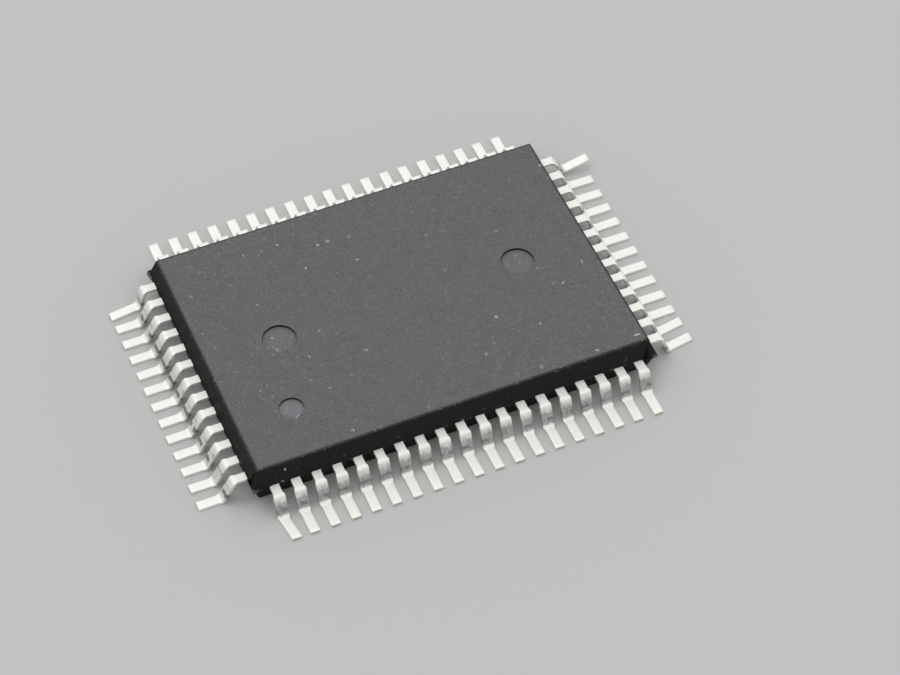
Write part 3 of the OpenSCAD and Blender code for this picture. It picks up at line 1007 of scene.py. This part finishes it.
def add_lead(skin, sizes, row, across, inner_l, v, tip_v, slope, lift, skew, serial):
    """Adds one lead of a row, at v along it."""
    heel_u = heel_place(sizes, slope)
    line = centre_line(sizes, inner_l, slope, lift)
    toe = line[-1]
    line[-1] = (toe[0] - TOE_ROUND, *toe[1:])
    line.append(toe)
    rings = []
    travelled = -inner_l
    for k, (u, z, tilt, stage) in enumerate(line):
        if k:
            travelled += math.hypot(u - line[k - 1][0], z - line[k - 1][1])
        trim = TOE_ROUND if k == len(line) - 1 else 0.0
        width = lead_width(sizes, inner_l, slope, u) - 2 * trim
        middle = between([(-inner_l, tip_v), (0.0, v), (heel_u, v), (sizes.reach, v + skew)], u)
        section = lead_section(width, sizes.thickness - 2 * trim, sizes.top_roll, sizes.low_roll)
        ring = []
        for sideways, up, around in section:
            x, y = turned(across + u + up * math.sin(tilt), middle + sideways, ROW_TURNS[row])
            lie = (travelled / MM, around / MM, STREAK_SHIFT * serial)
            place = (x, y, z + up * math.cos(tilt))
            ring.append(skin.point(place, lie=lie, stage=stage, scuff=ROW_REFLECTIONS_AND_SCUFFS[row]))
        rings.append(ring)
    for first, second in zip(rings, rings[1:]):
        skin.bridge(first, second)
    for ring in (rings[0][::-1], rings[-1]):
        skin.face(ring, material=CUT_END)


def row_span(row):
    """The row's box in its own frame: from the inner ends to the toes, and along the row."""
    low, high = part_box(row + "_leads")
    corners = [turned(x, y, -ROW_TURNS[row]) for x in (low.x, high.x) for y in (low.y, high.y)]
    return min(c[0] for c in corners), max(c[1] for c in corners) - min(c[1] for c in corners)


def lead_row(row, sizes, moulding_sizes):
    """All the leads of one row."""
    long_side = row in ("front", "rear")
    across = (moulding_sizes.width if long_side else moulding_sizes.length) / 2
    inner, row_l = row_span(row)
    leads = round((row_l - sizes.riser_w) / sizes.pitch) + 1
    fan = sizes.long_fan if long_side else sizes.short_fan
    draw = random.Random(LEAD_SEED + int(ROW_TURNS[row]))
    skin = Skin(lie=(0.0, 0.0, 0.0), stage=0.0, scuff=0.0)
    for k in range(leads):
        v = (k - (leads - 1) / 2) * sizes.pitch
        slope = sizes.left_slope if row == "left" else sizes.riser_slope
        slope += draw.uniform(-1, 1) * sizes.slope_spread
        skew = draw.uniform(-1, 1) * sizes.side_spread
        lift = 0.0
        if row == "right" and k == leads - 1:
            lift = sizes.splay
        if row == "left" and k == 0:
            slope = sizes.steep_slope
        if row in ("front", "left") and k == 0:
            skew = sizes.skew
        if row == "right" and k < sizes.right_bent:
            skew = sizes.right_skew
        add_lead(skin, sizes, row, across, across - inner, v, v * fan, slope, lift, skew, k)
    return skin


# Stage

FLOOR_HALF = 2.0
FLOOR_CELLS = 8
CLIP_END = 10.0

# How far towards the bright place the light begins to grow, and where it is full
GROW_FROM, GROW_TO = -0.35, 0.6


def direction(turn, rise):
    """Direction with that turn from +Y towards +X and that height above the horizon."""
    level = math.cos(rise)
    return Vector((math.sin(turn) * level, math.cos(turn) * level, math.sin(rise)))


def point_at(thing, heading, roll=0.0):
    """Points a lamp or a camera, tilted by the roll about its line of sight."""
    thing.rotation_mode = "QUATERNION"
    thing.rotation_quaternion = heading.to_track_quat("-Z", "Y") @ Quaternion((0.0, 0.0, 1.0), roll)


def make_floor(settings):
    mesh = bpy.data.meshes.new("floor")
    sheet = bmesh.new()
    bmesh.ops.create_grid(sheet, x_segments=FLOOR_CELLS, y_segments=FLOOR_CELLS, size=FLOOR_HALF)
    sheet.to_mesh(mesh)
    sheet.free()
    mesh.materials.append(Finish("floor_paint").complete(
        Base_Color=rgba(settings.floor), Roughness=0.9, Specular_IOR_Level=0.1))
    floor = put("floor", mesh)


def make_world(settings):
    """Light from all round, that grows towards a bright place behind the part."""
    world = bpy.data.worlds.new("studio")
    world.use_nodes = True
    bpy.context.scene.world = world
    graph = Graph(world.node_tree)
    background = next(n for n in world.node_tree.nodes if n.type == "BACKGROUND")
    bright = direction(settings.bright_turn, settings.bright_rise)
    ray = graph.add("ShaderNodeTexCoord").outputs["Generated"]
    towards = graph.vectors("DOT_PRODUCT", ray, bright)["Value"]
    light = graph.span(towards, GROW_FROM, GROW_TO, settings.wall_dim, settings.wall_bright)
    graph.feed(background.inputs["Color"], light)


def make_lamp(settings):
    lamp = bpy.data.lights.new("softbox", "AREA")
    lamp.shape = "SQUARE"
    lamp.size = settings.lamp_size
    lamp.energy = settings.lamp_power
    softbox = put("softbox", lamp)
    softbox.location = (settings.lamp_side, settings.lamp_back, settings.lamp_height)
    point_at(softbox, -softbox.location)


def make_camera(settings):
    camera = bpy.data.cameras.new("camera")
    camera.lens = settings.lens
    camera.clip_start = settings.distance / 20
    camera.clip_end = CLIP_END
    back = direction(math.pi - settings.azimuth, settings.elevation)
    stand = put("camera", camera)
    stand.location = Vector((settings.aim_x, settings.aim_y, 0.0)) + back * settings.distance
    point_at(stand, -back, settings.roll)
    bpy.context.scene.camera = stand


# Operators

class FLATPACK_OT_mould_body(Operator):
    """Model the moulding with its ledge, round marks, broken gate and chips"""
    bl_idname = "flatpack.mould_body"
    bl_label = "Mould the body"

    def execute(self, context):
        settings = context.scene.flat_pack
        shell = moulding(settings.moulding, settings.marks)
        finish = mould_compound(settings.colours)
        piece = new_piece("moulded_body", shell, [finish])
        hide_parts("body")
        return {"FINISHED"}


class FLATPACK_OT_form_leads(Operator):
    """Form the four rows of gull-wing leads"""
    bl_idname = "flatpack.form_leads"
    bl_label = "Form the leads"

    def execute(self, context):
        settings = context.scene.flat_pack
        finishes = [tin_plate(settings.colours), cut_metal(settings.colours)]
        for row in ROW_TURNS:
            skin = lead_row(row, settings.leads, settings.moulding)
            piece = new_piece(row + "_lead_row", skin, finishes)
            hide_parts(row + "_leads")
        return {"FINISHED"}


class FLATPACK_OT_finish_inside(Operator):
    """Give the paddle, the adhesive, the die and the bond wires their finish"""
    bl_idname = "flatpack.finish_inside"
    bl_label = "Finish the inside"

    def execute(self, context):
        colours = context.scene.flat_pack.colours
        finishes = {
            "die_paddle": rolled_strip(colours),
            "die_attach": silver_adhesive(colours),
            "die": patterned_silicon(colours),
        }
        gold = drawn_gold(colours)
        finishes.update({row + "_wires": gold for row in ROW_TURNS})
        for node, finish in finishes.items():
            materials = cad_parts[node].data.materials
            materials.clear()
            materials.append(finish)
        return {"FINISHED"}


class FLATPACK_OT_set_stage(Operator):
    """Set up the floor, the light and the camera"""
    bl_idname = "flatpack.set_stage"
    bl_label = "Set the stage"

    def execute(self, context):
        settings = context.scene.flat_pack.stage
        make_floor(settings)
        make_world(settings)
        make_lamp(settings)
        make_camera(settings)
        context.scene.view_settings.view_transform = "Standard"
        return {"FINISHED"}


class FLATPACK_PT_sidebar(Panel):
    """Lists the steps and their sizes in the sidebar"""
    bl_label = "Flat pack"
    bl_idname = "FLATPACK_PT_sidebar"
    bl_space_type = "VIEW_3D"
    bl_region_type = "UI"
    bl_category = "Flat pack"

    def draw(self, context):
        settings = context.scene.flat_pack
        for operator in OPERATORS:
            self.layout.operator(operator.bl_idname)
        for group in (settings.moulding, settings.marks, settings.leads, settings.colours, settings.stage):
            box = self.layout.box()
            for name in group.__annotations__:
                box.prop(group, name)


OPERATORS = (
    FLATPACK_OT_mould_body,
    FLATPACK_OT_form_leads,
    FLATPACK_OT_finish_inside,
    FLATPACK_OT_set_stage,
)
GROUP_CLASSES = (MouldingSizes, MarkSizes, LeadSizes, FinishColours, StageSettings, FlatPackSettings)
CLASSES = GROUP_CLASSES + OPERATORS + (FLATPACK_PT_sidebar,)


def register():
    for cls in CLASSES:
        bpy.utils.register_class(cls)
    bpy.types.Scene.flat_pack = PointerProperty(
        type=FlatPackSettings, name="Flat pack", description="Sizes, colours and stage of the flat pack")


def unregister():
    del bpy.types.Scene.flat_pack
    for cls in reversed(CLASSES):
        bpy.utils.unregister_class(cls)


def main():
    register()
    bpy.ops.flatpack.mould_body()
    bpy.ops.flatpack.form_leads()
    bpy.ops.flatpack.finish_inside()
    bpy.ops.flatpack.set_stage()


if __name__ == "__main__":
    main()
